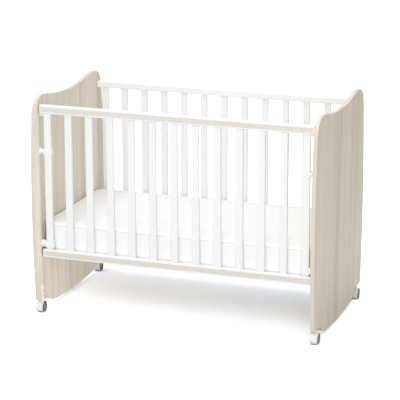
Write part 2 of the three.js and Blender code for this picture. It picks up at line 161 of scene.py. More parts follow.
def woodgrainBoard(name, along, tones, contrast, offset, roughness=0.42):
    # Melamine-faced chipboard: a printed ash grain pressed under resin, so the streaks are
    # pale and soft, and the satin face has only the faintest relief.
    material, tree, shader = newMaterial(name, {"Roughness": roughness, "Specular IOR Level": 0.2})

    def layer(what, slice4, values):
        sizes = [tones[f"{what}Width"]] * 3
        sizes["XYZ".index(along)] = tones[f"{what}Length"]
        values = {"Vector": stretched(tree, sizes), "W": slice4, "Scale": 1.0, **values}
        return addNode(tree, "ShaderNodeTexNoise", values, noise_dimensions="4D").outputs[0]

    bands = layer("band", offset, {"Detail": 2.0, "Roughness": 0.5, "Distortion": 0.3})
    streaks = layer("streak", offset + grain["streakSlice"], {
        "Detail": 3.0, "Roughness": 0.55, "Distortion": 0.15,
    })
    pores = layer("pore", offset + grain["poreSlice"], {"Detail": 2.0, "Roughness": 0.5})
    both = addNode(tree, "ShaderNodeMath", {0: bands, 1: streaks}, operation="ADD")
    half = addNode(tree, "ShaderNodeMath", {0: both.outputs[0], 1: 0.5}, operation="MULTIPLY")
    ramp = addNode(tree, "ShaderNodeValToRGB", {"Fac": half.outputs[0]})
    first, last = ramp.color_ramp.elements
    first.position = 0.5 - grain["spread"] / contrast
    first.color = linear(tones["dark"])
    last.position = 0.5 + grain["spread"] / contrast
    last.color = linear(tones["light"])
    ramp.color_ramp.elements.new(0.5).color = linear(tones["middle"])
    mask = addNode(tree, "ShaderNodeMapRange", {
        "Value": pores, "From Min": grain["poreFrom"], "From Max": grain["poreTo"],
        "To Max": grain["poreShare"] * contrast,
    })
    # 6 and 7 are a Mix node's colour inputs, after its number and vector ones
    coloured = addNode(tree, "ShaderNodeMix", {
        0: mask.outputs[0], 6: ramp.outputs[0], 7: linear(tones["line"]),
    }, data_type="RGBA")
    tree.links.new(coloured.outputs[2], shader.inputs["Base Color"])
    addBump(tree, shader, pores, grain["poreDepth"], grain["poreBump"])
    return material


def paintedWood(name):
    # Beech, sprayed with white water-based lacquer: a satin skin with a faint orange peel
    material, tree, shader = newMaterial(name, {
        "Base Color": linear("f2f2f2"), "Roughness": 0.38, "Specular IOR Level": 0.45,
    })
    addFineBump(tree, shader, size=2.5, detail=1.0, depth=0.08, strength=0.2)
    return material


def bareWood(name, along):
    # Planed spruce: straight yellowish grain with darker late wood, dry and open
    tones = {
        "light": "e8d9b8", "middle": "dfcca6", "dark": "cdb488", "line": "b8996b",
        "bandWidth": 22, "bandLength": 900, "streakWidth": 3.5, "streakLength": 260,
        "poreWidth": 1.2, "poreLength": 20,
    }
    return woodgrainBoard(name, along, tones, contrast=1.1, offset=5.0, roughness=0.62)


def mouldedPlastic(name, code, roughness):
    # Injection-moulded nylon: even colour, with the mould's fine spark texture
    material, tree, shader = newMaterial(name, {
        "Base Color": linear(code), "Roughness": roughness, "IOR": 1.5,
    })
    addFineBump(tree, shader, size=0.8, detail=2.0, depth=0.03, strength=0.15)
    return material


def zincSteel(name):
    # Turned steel with bright zinc plating: faint rings, some smoother than others
    material, tree, shader = newMaterial(name, {"Base Color": linear("c9ccd0"), "Metallic": 1.0})
    rings = addNode(tree, "ShaderNodeTexNoise", {
        "Vector": stretched(tree, (8, 8, 0.6)), "Scale": 1.0, "Detail": 2.0,
    })
    rough = addNode(tree, "ShaderNodeMapRange", {
        "Value": rings.outputs[0], "To Min": 0.24, "To Max": 0.4,
    })
    tree.links.new(rough.outputs[0], shader.inputs["Roughness"])
    return material


def knittedCover(name, code):
    # Polyester knit over foam: matt with a soft sheen; loops of 1 mm are drawn at 3 mm to show
    material, tree, shader = newMaterial(name, {
        "Base Color": linear(code), "Roughness": 0.9, "Specular IOR Level": 0.2,
        "Sheen Weight": 0.25, "Sheen Roughness": 0.5,
    })
    loops = addNode(tree, "ShaderNodeTexVoronoi", {
        "Vector": stretched(tree, (3, 3, 3)), "Scale": 1.0,
    })
    soft = addNode(tree, "ShaderNodeTexNoise", {
        "Vector": stretched(tree, (90, 60, 60)), "Scale": 1.0, "Detail": 2.0,
    })
    height = addNode(tree, "ShaderNodeMath", {
        0: loops.outputs[0], 1: soft.outputs[0],
    }, operation="ADD")
    addBump(tree, shader, height.outputs[0], depth=0.4, strength=0.25)
    return material


# painted shade: the right-hand board's tones are darker and less blue than the left's, for the
# stronger light on its outer face
rightTonesShaded = dict(woodgrain, light="e6ddcb", middle="ddd3c0", dark="ccc1ae", line="b8ae9b")
bandTones = dict(woodgrain, light="e5ddcf", middle="ded6c8", dark="d4cbbc")
foilTones = dict(woodgrain, light="e8e4dc", middle="e1dbd1", dark="d5cec2")
# painted light: the left board's tones are lifted, for the weaker light on its inner face
boardLeft = woodgrainBoard("ash melamine board, left", "Z", woodgrain, 1.15, offset=0.0)
boardRight = woodgrainBoard("ash melamine board, right", "Z", rightTonesShaded, 1.15, offset=11.0)
edgeBand = woodgrainBoard("ash edge band", "Z", bandTones, 0.6, offset=4.0)
stripFoil = woodgrainBoard("ash foil strip", "X", foilTones, 1.0, offset=8.0)
whitePaint = paintedWood("white lacquered beech")
spruceAlong = bareWood("planed spruce, long", "X")
spruceAcross = bareWood("planed spruce, across", "Y")
whiteNylon = mouldedPlastic("white moulded nylon", "f2f2f2", 0.35)
wheelNylon = mouldedPlastic("grey moulded nylon", "808184", 0.5)
tyreRubber = mouldedPlastic("dark thermoplastic tread", "5a5b5f", 0.6)
zinc = zincSteel("zinc-plated steel")
# painted shade: this dark colour stands for the shadow in the screws' cross recess
recessShade = mouldedPlastic("shadowed screw recess", "2c2d2f", 0.8)
knit = knittedCover("white knitted cover", "fafafb")
# painted shade: the binding is pale grey so that each seam shows as the thin shadow line along the
# mattress's edge
seamShadeBinding = knittedCover("knitted binding, grey for painted seam shade", "e6e6e7")
print("stage: materials made")


# Surfaces: every new piece is a stack of closed rings of points, joined ring to ring by quads

def roundedRing(halfU, halfV, radius, perCorner=7):
    # four quarter circles of one radius, set in from the corners of a rectangle, anticlockwise
    corner = np.repeat(np.arange(4), perCorner)
    angle = (corner + np.tile(np.linspace(0, 1, perCorner), 4)) * math.pi / 2
    signU = np.array([1, -1, -1, 1])[corner]
    signV = np.array([1, 1, -1, -1])[corner]
    u = signU * (halfU - radius) + radius * np.cos(angle)
    v = signV * (halfV - radius) + radius * np.sin(angle)
    return np.stack((u, v), -1)


def circle(radius, around):
    # radius times cosine and sine of equal steps of a full turn
    angle = np.arange(around) * 2 * math.pi / around
    return radius * np.stack((np.cos(angle), np.sin(angle)), -1)


def arc(centre, radius, fromAngle, toAngle, count):
    # points at equal angles, in degrees
    angle = np.radians(np.linspace(fromAngle, toAngle, count))
    return np.array(centre) + radius * np.stack((np.cos(angle), np.sin(angle)), -1)


def roundedEdge(radius, steps):
    # a quarter circle from a face to a side: how far in from the side, and how far from the face
    angle = np.linspace(0, math.pi / 2, steps + 1)
    return radius * (1 - np.sin(angle)), radius * (1 - np.cos(angle))


def cornerCurve(start, corner, end, count=5):
    # points on the quadratic curve from start to end that aims at the corner
    t = np.linspace(0, 1, count)[:, None]
    start, corner, end = (p[..., None, :] for p in (start, corner, end))
    return (1 - t) ** 2 * start + 2 * t * (1 - t) * corner + t ** 2 * end


def insetOutline(outline, distance):
    # each point moves inwards along the mitre of its two edges' left-hand normals
    ahead = np.roll(outline, -1, 0) - outline
    ahead /= np.linalg.norm(ahead, axis=1)[:, None]
    normal = np.stack((-ahead[:, 1], ahead[:, 0]), -1)
    before = np.roll(normal, 1, 0)
    mitre = (normal + before) / (1 + (normal * before).sum(1))[:, None]
    return outline + mitre * distance


def anticlockwise(outline):
    # reversed if the sum of its edges' cross products is negative
    ahead = np.roll(outline, -1, 0)
    area = (outline[:, 0] * ahead[:, 1] - outline[:, 1] * ahead[:, 0]).sum()
    return outline if area > 0 else outline[::-1]


def inPlane(points, height, axis):
    # (u, v) points and a height as (x, y, z): u and v follow the axis in cyclic order
    shape = points.shape[:-1]
    flat = np.concatenate((np.broadcast_to(height, shape)[..., None], points), -1)
    return np.roll(flat, "XYZ".index(axis), -1)


def ringQuads(count, around, wrap=False):
    # quads between each of count rings of points and the next, and from the last to the first
    # if they wrap
    start = np.arange(count if wrap else count - 1)[:, None] * around
    following = (start + around) % (count * around)
    i = np.arange(around)
    j = (i + 1) % around
    return np.stack((start + i, start + j, following + j, following + i), -1).reshape(-1, 4)


def ringShell(rings, wrap=False):
    # the quads between the rings; unless they wrap, flat faces close the first and the last
    count, around = rings.shape[:2]
    quads = ringQuads(count, around, wrap)
    faces = quads.tolist()
    if not wrap:
        faces += [list(range(around))[::-1], list(range((count - 1) * around, count * around))]
    points = rings.reshape(-1, 3)
    # six times the enclosed volume, summed over the quads and the fans of the end faces
    a, b, c, d = (points[quads[:, k]] for k in range(4))
    volume = (a * np.cross(b, c)).sum() + (a * np.cross(c, d)).sum()
    for cap in faces[len(quads):]:
        p = points[cap]
        volume += (p[0] * np.cross(p[1:-1], p[2:])).sum()
    if volume < 0:
        faces = [face[::-1] for face in faces]
    return points, faces


def slab(outline, low, high, edge, axis, rimSteps=4):
    # an outline held between two planes, its rims rounded by quarter circles of radius edge
    inset, rise = roundedEdge(edge, rimSteps)
    heights = np.concatenate((low + rise, (high - rise)[::-1]))
    insets = np.concatenate((inset, inset[::-1]))
    rings = [inPlane(insetOutline(outline, d), h, axis) for d, h in zip(insets, heights)]
    return ringShell(np.array(rings))


def turned(profile, centre, axis, around=32):
    # a profile of (radius, height) pairs turned about an axis through centre
    unit = circle(1.0, around)
    rings = np.stack([inPlane(unit * radius, height, axis) for radius, height in profile])
    return ringShell(rings + np.array(centre))


def bar(low, high, axis, corner, edge):
    # a rounded rectangle between two corners, held along one axis
    k = "XYZ".index(axis)
    order = [(k + 1) % 3, (k + 2) % 3]
    middle = (low + high) / 2
    half = (high - low) / 2
    outline = roundedRing(half[order[0]], half[order[1]], corner) + middle[order]
    return slab(outline, low[k], high[k], edge, axis)


def scaled(shell):
    return shell[0] * mm, shell[1]


def boxOf(node):
    low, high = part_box(node)
    return np.array(low), np.array(high)


def newObject(name, points, faces, materials):
    mesh = bpy.data.meshes.new(name)
    mesh.from_pydata(points.tolist(), [], faces)
    for material in materials:
        mesh.materials.append(material)
    obj = bpy.data.objects.new(name, mesh)
    scene.collection.objects.link(obj)
    return obj


sharpFrom = 35  # degrees between two faces, from which the edge between them is drawn sharp


def slotNumbers(*groups):
    # each face's material, by the number of its group of shells
    counts = [sum(len(faces) for _, faces in shells) for shells in groups]
    return np.repeat(np.arange(len(groups)), counts).tolist()


def makePiece(name, shells, materials, body, nodes=(), faceMaterials=None):
    # one object of several closed shells
    faces = []
    offset = 0
    for shellPoints, shellFaces in shells:
        faces += [[i + offset for i in face] for face in shellFaces]
        offset += len(shellPoints)
    points = np.concatenate([shellPoints for shellPoints, _ in shells])
    obj = newObject(name, points, faces, materials)
    if faceMaterials is not None:
        obj.data.polygons.foreach_set("material_index", faceMaterials)
    obj.data.polygons.foreach_set("use_smooth", [True] * len(faces))
    obj.data.set_sharp_from_angle(angle=math.radians(sharpFrom))
    obj.modifiers.new("even shading", "WEIGHTED_NORMAL").keep_sharp = True
    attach(obj, body)
    if nodes:
        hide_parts(*nodes)
    return obj


# End panels
panel = {
    "thickness": 18, "inner": 603,
    "halfDepth": 372.3, "widestHeight": 443.5, "sideRadius": 4170,
    "dipHeight": 915.5, "peakHeight": 942.5, "peakAt": 272, "shoulderHeight": 873,
    "cornerHeight": 59.5, "cornerAt": 298, "cornerRound": 4,
    "rockerClearance": 11, "rockerRadius": 2400, "rockerEnd": 190,
    "sweep": (55, 4, 30), "shoulder": (4, 42, 44), "wave": (80, 150),  # the curves' handles
    "rockerSteps": 13, "cornerSteps": 6, "sideSteps": 40, "curveSteps": 20,
    "edgeRound": 1.2,
}
boardFace = panel["inner"] - gap  # |x| of what is fixed to a panel's inner face


def bezier(p0, p1, p2, p3):
    # the cubic curve between p0 and p3 with handles p1 and p2, without its first point
    t = np.linspace(0, 1, panel["curveSteps"] + 1)[1:, None]
    p0, p1, p2, p3 = (np.array(p, float) for p in (p0, p1, p2, p3))
    return (1 - t) ** 3 * p0 + 3 * t * (1 - t) ** 2 * p1 + 3 * t ** 2 * (1 - t) * p2 + t ** 3 * p3


def panelSide(z):
    # a parabola that stands for the side's long arc
    return panel["halfDepth"] - (z - panel["widestHeight"]) ** 2 / (2 * panel["sideRadius"])


def panelRocker(y):
    # a parabola that stands for the rocker's long arc
    return panel["rockerClearance"] + y ** 2 / (2 * panel["rockerRadius"])


def panelOutline():
    # half an outline from the middle of the rocker, an arc, up over a corner and a bulging side
    # to the middle of the wavy top, then the same mirrored; (y, z) in millimetres, anticlockwise
    p = panel
    y = np.linspace(0, p["rockerEnd"], p["rockerSteps"])
    rocker = np.stack((y, panelRocker(y)), -1)
    out, up, back = p["sweep"]
    endHeight = panelRocker(p["rockerEnd"])
    sweep = bezier(
        (p["rockerEnd"], endHeight), (p["rockerEnd"] + out, endHeight + up),
        (p["cornerAt"] - back, p["cornerHeight"]), (p["cornerAt"], p["cornerHeight"]),
    )
    cornerTop = p["cornerHeight"] + p["cornerRound"]
    centre = (panelSide(cornerTop) - p["cornerRound"], cornerTop)
    turn = arc(centre, p["cornerRound"], -90, 0, p["cornerSteps"])
    z = np.linspace(cornerTop, p["shoulderHeight"], p["sideSteps"])[1:]
    side = np.stack((panelSide(z), z), -1)
    inwards, lift, peak = p["shoulder"]
    shoulder = bezier(
        side[-1], (side[-1][0] - inwards, p["shoulderHeight"] + lift),
        (p["peakAt"] + peak, p["peakHeight"]), (p["peakAt"], p["peakHeight"]),
    )
    down, dip = p["wave"]
    wave = bezier(
        shoulder[-1], (p["peakAt"] - down, p["peakHeight"]),
        (dip, p["dipHeight"]), (0, p["dipHeight"]),
    )
    half = np.concatenate((rocker, sweep, turn, side, shoulder, wave))
    return np.concatenate((half, half[-2:0:-1] * (-1, 1)))


def addEndPanel(side, word, boardMaterial):
    near, far = side * panel["inner"], side * (panel["inner"] + panel["thickness"])
    low, high = sorted((near * mm, far * mm))
    points, faces = slab(panelOutline() * mm, low, high, panel["edgeRound"] * mm, "X")
    # the two end faces are the board's faces; the band covers the rest
    bandOrBoard = [1] * (len(faces) - 2) + [0, 0]
    makePiece(
        f"endPanel{word}", [(points, faces)], [boardMaterial, edgeBand], "frame",
        [f"end_panel_{word.lower()}"], bandOrBoard,
    )


addEndPanel(-1, "Left", boardLeft)
addEndPanel(1, "Right", boardRight)
print("stage: end panels made")


# Rails, with their inlays, and slats
rail = {
    "round": 5, "roundSteps": 5, "corner": 5.6, "inlayRound": 4, "inlayEdge": 0.6,
}
slat = {"round": 4, "edge": 0.2, "count": 13}


def addFrontRail(which):
    # as a rounded bar seen from the front, with the inlay's groove sunk into its front face
    node = f"front_{which}_rail"
    low, high = boxOf(node)
    inlayLow, inlayHigh = boxOf(f"front_{which}_inlay")
    middle = ((low + high) / 2)[[2, 0]]
    half = ((high - low) / 2)[[2, 0]]
    outline = roundedRing(*half, rail["corner"] * mm) + middle
    grooveHalf = ((inlayHigh - inlayLow) / 2)[[2, 0]] + gap * mm
    groove = roundedRing(*grooveHalf, rail["inlayRound"] * mm) + middle
    inset, rise = roundedEdge(rail["round"] * mm, rail["roundSteps"])
    insets = np.concatenate((inset, inset[::-1]))
    heights = np.concatenate((low[1] + rise, high[1] - rise[::-1]))
    rings = [inPlane(groove, inlayHigh[1] + gap * mm, "Y"), inPlane(groove, low[1], "Y")]
    rings += [inPlane(insetOutline(outline, d), h, "Y") for d, h in zip(insets, heights)]
    makePiece(
        f"front{which.title()}Rail", [ringShell(np.array(rings))], [whitePaint],
        "drop_side", [node],
    )
    strip = bar(inlayLow, inlayHigh, "Y", rail["inlayRound"] * mm, rail["inlayEdge"] * mm)
    makePiece(
        f"front{which.title()}Inlay", [strip], [stripFoil],
        "drop_side", [f"front_{which}_inlay"],
    )


def addRearRail(which):
    node = f"rear_{which}_rail"
    low, high = boxOf(node)
    low[0], high[0] = -boardFace * mm, boardFace * mm  # its dowels are inside the panels
    shell = bar(low, high, "Y", rail["corner"] * mm, rail["round"] * mm)
    makePiece(f"rear{which.title()}Rail", [shell], [whitePaint], "frame", [node])


def addSlats(side, body):
    bottom = boxOf(f"{side}_bottom_rail")[1][2] + gap * mm
    top = boxOf(f"{side}_top_rail")[0][2] - gap * mm
    for i in range(1, slat["count"] + 1):
        node = f"{side}_slat_{i:02d}"
        low, high = boxOf(node)
        low[2], high[2] = bottom, top  # its tenons are inside the rails
        shell = bar(low, high, "Z", slat["round"] * mm, slat["edge"] * mm)
        makePiece(f"{side}Slat{i:02d}", [shell], [whitePaint], body, [node])


for which in ("top", "bottom"):
    addFrontRail(which)
    addRearRail(which)
addSlats("front", "drop_side")
addSlats("rear", "frame")
print("stage: rails and slats made")


# Guides for the front side's end slats, and the buffers that land on them
guide = {
    "slatX": 565.8, "plane": 311, "holeHalf": (16.2, 7.5), "holeRound": 4,
    "wall": 4, "backWall": 2.6, "outerRound": 5, "rim": 1.0, "rimCorner": 4,
    "flangeRadius": 18, "flangeThickness": 3, "flangeChamfer": 0.8, "flangeRound": (0.3, 0.8),
    "flangeAround": 48, "fillet": 3, "neckStart": 1,  # from the hole, inside the collar's wall
    "upper": {"bottom": 697, "top": 723, "neck": 11},
    "lower": {"bottom": 291, "top": 322, "neck": 15},
}
buffer = {"corner": 1.2, "rim": 0.8}


def filletProfile(corners, sizes):
    # a profile's inner corners replaced by curves that leave and arrive along its lines
    corners = np.array(corners, float)
    points = [corners[:1]]
    for before, here, after, size in zip(corners, corners[1:], corners[2:], sizes):
        start = here - (here - before) / np.linalg.norm(here - before) * size
        end = here + (after - here) / np.linalg.norm(after - here) * size
        points.append(cornerCurve(start, here, end))
    points.append(corners[-1:])
    return np.concatenate(points)


def softCorners(corners, radius):
    # each corner becomes a quadratic curve that starts and ends radius away along its edges
    corners = anticlockwise(np.array(corners, float))
    toBefore = np.roll(corners, 1, 0) - corners
    toAfter = np.roll(corners, -1, 0) - corners
    start = corners + radius * toBefore / np.linalg.norm(toBefore, axis=1)[:, None]
    end = corners + radius * toAfter / np.linalg.norm(toAfter, axis=1)[:, None]
    return cornerCurve(start, corners, end).reshape(-1, 2)


def collarShell(centreX, bottom, top):
    # a closed rounded section carried round between an inner and an outer rounded rectangle
    halfX, halfY = guide["holeHalf"]
    wall, back = guide["wall"], guide["backWall"]
    inner = roundedRing(halfX, halfY, guide["holeRound"])
    outer = roundedRing(halfX + wall, halfY + (wall + back) / 2, guide["outerRound"])
    outer = outer + (0, (back - wall) / 2)
    section = roundedRing(wall / 2, (top - bottom) / 2, guide["rim"], guide["rimCorner"])
    share = (section[:, 0] / wall + 0.5)[:, None, None]
    ring = inner * (1 - share) + outer * share + (centreX, -guide["plane"])
    heights = (section[:, 1] + (top + bottom) / 2)[:, None]
    return ringShell(inPlane(ring, heights, "Z"), wrap=True)


def addGuide(side, word, which):
    # a collar round the slat, on a neck that flares to a round flange on the panel
    g = guide[which]
    radius, chamfer = guide["flangeRadius"], guide["flangeChamfer"]
    inner = boardFace - guide["flangeThickness"]
    neckEnd = guide["slatX"] + guide["holeHalf"][0] + guide["neckStart"]
    corners = [
        (radius - chamfer, boardFace), (radius, boardFace - chamfer), (radius, inner),
        (g["neck"], inner), (g["neck"], neckEnd),
    ]
    fillet = min(guide["fillet"], radius - g["neck"])
    profile = filletProfile(corners, (*guide["flangeRound"], fillet)) * (1, side)
    middle = (g["bottom"] + g["top"]) / 2
    shells = [
        collarShell(side * guide["slatX"], g["bottom"], g["top"]),
        turned(profile, (0, -guide["plane"], middle), "X", guide["flangeAround"]),
    ]
    makePiece(
        f"{which}Guide{word}", [scaled(s) for s in shells], [whiteNylon], "frame",
        [f"{which}_guide_{word.lower()}"],
    )


def addBuffer(side, word):
    # a wedge, deep beside the end slat and shallow at the rail's end
    node = f"rail_buffer_{word.lower()}"
    low, high = boxOf(node)
    near, far = (low[0], high[0]) if side > 0 else (high[0], low[0])
    shallow = (low[2] + high[2]) / 2
    corners = [(high[2], near), (low[2], near), (shallow, far), (high[2], far)]
    outline = softCorners(corners, buffer["corner"] * mm)
    shell = slab(outline, low[1], high[1], buffer["rim"] * mm, "Y")
    makePiece(f"railBuffer{word}", [shell], [whiteNylon], "drop_side", [node])


for side, word in ((-1, "Left"), (1, "Right")):
    addGuide(side, word, "upper")
    addGuide(side, word, "lower")
    addBuffer(side, word)
print("stage: guides and buffers made")


# Screws with pan heads: every length is a share of the head's radius
screw = {
    "flat": 0.55, "rim": 0.12, "dome": 0.4, "domeSteps": 6, "around": 20,
    "crossHalf": (0.5, 0.1, 0.04), "crossAt": 0.51, "crossCorner": 0.04, "crossEdge": 0.02,
}


def screwShell(centre, axis, outwards, radius):
    # a flat top that rounds down to its rim; outwards is the way it faces along its axis
    s = screw
    t = np.linspace(0, math.pi / 2, s["domeSteps"])
    across = s["flat"] + (1 - s["flat"]) * np.cos(t)
    dome = np.stack((across, outwards * (s["rim"] + s["dome"] * np.sin(t))), -1)
    profile = np.concatenate(([(1, 0)], dome)) * radius
    return turned(profile, centre, axis, s["around"])


def crossShells(centre, axis, outwards, radius):
    # the cross recess, drawn as two thin dark bars flush with the head's top: painted shade for the
    # hollow
    k = "XYZ".index(axis)
    across = [(k + 1) % 3, (k + 2) % 3]
    middle = np.array(centre, float)
    middle[k] += outwards * radius * screw["crossAt"]
    shells = []
    for long, short in (across, across[::-1]):
        half = np.zeros(3)
        half[[long, short, k]] = radius * np.array(screw["crossHalf"])
        shells.append(bar(
            middle - half, middle + half, axis,
            radius * screw["crossCorner"], radius * screw["crossEdge"],
        ))
    return shells


def addScrews(name, places, axis, outwards, radius):
    heads = [screwShell(p, axis, outwards, radius) for p in places]
    crosses = [s for p in places for s in crossShells(p, axis, outwards, radius)]
    makePiece(
        name, [scaled(s) for s in heads + crosses], [zinc, recessShade], "frame",
        faceMaterials=slotNumbers(heads, crosses),
    )


# Base and its battens
base = {
    "top": 272.7, "thickness": 24.4, "halfLength": 600, "halfDepth": 291, "rim": 40, "edge": 1.5,
    "cornerOverEdge": 0.2, "slats": 10, "slatWidth": 62, "slatThickness": 12,
    "screwRadius": 3.6, "screwInset": 20,
}
cleat = {"edge": 2.0, "corner": 2.2, "screws": (-190, 0, 190), "screwRadius": 3.6}


def baseBar(x, y, z, axis):
    low, high = (np.array(v, float) for v in zip(x, y, z))
    return scaled(bar(low, high, axis, base["edge"] + base["cornerOverEdge"], base["edge"]))


def addBase():
    b = base
    bottom, inner = b["top"] - b["thickness"], b["halfDepth"] - b["rim"]
    endInner = b["halfLength"] - b["rim"]
    height, width = (bottom, b["top"]), (-inner, inner)
    sides = (-b["halfDepth"], -inner), (inner, b["halfDepth"])
    ends = (-b["halfLength"], -endInner), (endInner, b["halfLength"])
    length = (-b["halfLength"], b["halfLength"])
    long = [baseBar(length, y, height, "X") for y in sides]
    short = [baseBar(x, width, height, "Y") for x in ends]
    makePiece("baseRimLong", long, [spruceAlong], "frame", ["mattress_base"])
    makePiece("baseRimShort", short, [spruceAcross], "frame")
    # equal gaps between the slats, and half as much again shared by the two at the ends
    pitch = 2 * endInner / (b["slats"] + 0.5)
    middles = (np.arange(b["slats"]) - (b["slats"] - 1) / 2) * pitch
    half = b["slatWidth"] / 2
    under = b["top"] - b["slatThickness"]
    slats = [baseBar((x - half, x + half), width, (under, b["top"]), "Y") for x in middles]
    makePiece("baseSlats", slats, [spruceAcross], "frame")
    screwX, screwY = endInner + b["screwInset"], inner + b["screwInset"]
    places = [(x, y, bottom) for x in (-screwX, screwX) for y in (-screwY, screwY)]
    addScrews("baseScrews", places, "Z", -1, b["screwRadius"])


def addCleat(side, word):
    node = f"base_cleat_{word.lower()}"
    low, high = boxOf(node)
    inner = low[0] if side > 0 else high[0]
    low[0], high[0] = sorted((inner, side * boardFace * mm))  # its pegs are inside the panel
    shell = bar(low, high, "Y", cleat["corner"] * mm, cleat["edge"] * mm)
    makePiece(f"baseCleat{word}", [shell], [spruceAcross], "frame", [node])
    middle = (low[2] + high[2]) / 2 / mm
    places = [(inner / mm, y, middle) for y in cleat["screws"]]
    addScrews(f"cleatScrews{word}", places, "X", -side, cleat["screwRadius"])


addBase()
for side, word in ((-1, "Left"), (1, "Right")):
    addCleat(side, word)
print("stage: base made")


# Casters: bracket on the panel's corner, stem, hood, and twin wheels on an axle
bracket = {
    "footBottom": 53.6, "footTop": 59, "footFrom": 296, "footTo": 338, "footRound": 9,
    "footInner": 594, "footOuter": 619, "plateThickness": 4.2, "plateAt": 325,
    "heelHalf": 5, "heelRise": 1, "lobe": (96, 12), "lobeTurn": 45, "tip": (119.5, 5.5),
    "tipSteps": 12, "lobeSteps": 8, "rim": 0.8, "screwRadius": 4.2,
}
caster = {"x": 612, "y": 311, "trail": 8.4, "halfWidth": 16.75}
stem = {
    "radius": 3.5, "bottom": 30, "top": 95, "foot": (0.6, 0.8), "point": 1.5,
    "collarRadius": 7, "collarBottom": 52.1, "collarTop": 53.3, "collarChamfer": 0.3,
}
hood = {
    "inner": 24.4, "outer": 26.6, "from": 28, "to": 214, "steps": 40, "rim": 0.9,
    "webHalf": 5.35, "webRim": 0.8, "webLap": 1, "webFrom": 36, "webTo": 171, "webSteps": 24,
    "webFootHalf": 6, "webFootDrop": 7,
    "bossTop": 51.8, "bossSunk": 3, "bossFlare": ((2.5, 0), (0.5, 4), (0, 6)), "bossChamfer": 0.5,
}
wheel = {
    "radius": 23, "width": 11, "treadDepth": 4.5, "treadRound": 1.6, "treadCorner": 5,
    "around": 56,
    "hubLap": 0.2, "hubInset": 0.6, "hubLip": 1.6, "hubDish": 1.6, "hubSlope": 1, "hubBoss": 6.5,
    "bossChamfer": (0.6, 0.4), "bore": 2.6, "boreChamfer": 0.8,
    "axleRadius": 2.5, "axleInset": 0.2, "axleChamfer": 0.7, "axleAround": 24,
}


def addBracket(side, end, word, node):
    # a foot over the hood, and a plate outlined as a drop: a tip, a lobe round the screw, a heel
    b = bracket
    y = end * b["plateAt"]
    footHalf = (b["footOuter"] - b["footInner"]) / 2, (b["footTo"] - b["footFrom"]) / 2
    footX, footY = (b["footOuter"] + b["footInner"]) / 2, (b["footTo"] + b["footFrom"]) / 2
    foot = roundedRing(*footHalf, b["footRound"]) + (side * footX, end * footY)
    (lobeHeight, lobeRadius), (tipHeight, tipRadius) = b["lobe"], b["tip"]
    slope = math.degrees(math.asin((lobeRadius - tipRadius) / (tipHeight - lobeHeight)))
    lobe, turn, heel = (y, lobeHeight), b["lobeTurn"], b["footBottom"] + b["heelRise"]
    drop = np.concatenate((
        arc((y, tipHeight), tipRadius, slope, 180 - slope, b["tipSteps"]),
        arc(lobe, lobeRadius, 180 - slope, 180 + turn, b["lobeSteps"]),
        [(y - b["heelHalf"], heel), (y + b["heelHalf"], heel)],
        arc(lobe, lobeRadius, -turn, slope, b["lobeSteps"]),
    ))
    front = side * (boardFace - b["plateThickness"])
    low, high = sorted((side * boardFace, front))
    shells = [
        slab(foot, b["footBottom"], b["footTop"], b["rim"], "Z"),
        slab(drop, low, high, b["rim"], "X"),
    ]
    makePiece(
        f"casterBracket{word}", [scaled(s) for s in shells], [whiteNylon], "frame",
        [f"caster_bracket_{node}"],
    )
    addScrews(f"bracketScrew{word}", [(front, y, lobeHeight)], "X", -side, b["screwRadius"])


def addCasterPiece(kind, word, node, shells, materials, faceMaterials=None):
    # stems, hoods and wheels each stand for one node and ride on the body of the same name
    body = f"caster_{kind.lower()}_{node}"
    shells = [scaled(s) for s in shells]
    makePiece(f"caster{kind}{word}", shells, materials, body, [body], faceMaterials)


def addStem(x, y, word, node):
    # a pin with a small foot, a collar and a pointed top
    s = stem
    r, collar, chamfer = s["radius"], s["collarRadius"], s["collarChamfer"]
    profile = [
        (r - s["foot"][0], s["bottom"]), (r, s["bottom"] + s["foot"][1]),
        (r, s["collarBottom"]), (collar - chamfer, s["collarBottom"]),
        (collar, s["collarBottom"] + chamfer), (collar, s["collarTop"] - chamfer),
        (collar - chamfer, s["collarTop"]), (r, s["collarTop"]),
        (r, s["top"] - s["point"]), (r - s["point"], s["top"]),
    ]
    addCasterPiece("Stem", word, node, [turned(profile, (x, y, 0), "Z")], [zinc])


def addHood(x, y, word, node):
    # a curved cover over both wheels, on a web between them, and a boss round the stem
    h = hood
    axleY = y - caster["trail"]
    centre = (axleY, wheel["radius"])
    cover = np.concatenate((
        arc(centre, h["outer"], h["from"], h["to"], h["steps"]),
        arc(centre, h["inner"], h["to"], h["from"], h["steps"]),
    ))
    foot = wheel["radius"] - h["webFootDrop"]
    web = np.concatenate((
        arc(centre, h["inner"] + h["webLap"], h["webFrom"], h["webTo"], h["webSteps"]),
        [(axleY - h["webFootHalf"], foot), (axleY + h["webFootHalf"], foot)],
    ))
    collar, chamfer = stem["collarRadius"], h["bossChamfer"]
    bossFoot = wheel["radius"] + h["inner"] - h["bossSunk"]
    boss = [(collar + out, bossFoot + up) for out, up in h["bossFlare"]]
    boss += [(collar, h["bossTop"] - chamfer), (collar - chamfer, h["bossTop"])]
    halfWidth = caster["halfWidth"]
    shells = [
        slab(anticlockwise(cover), x - halfWidth, x + halfWidth, h["rim"], "X"),
        slab(anticlockwise(web), x - h["webHalf"], x + h["webHalf"], h["webRim"], "X"),
        turned(boss, (x, y, 0), "Z"),
    ]
    addCasterPiece("Hood", word, node, shells, [whiteNylon])


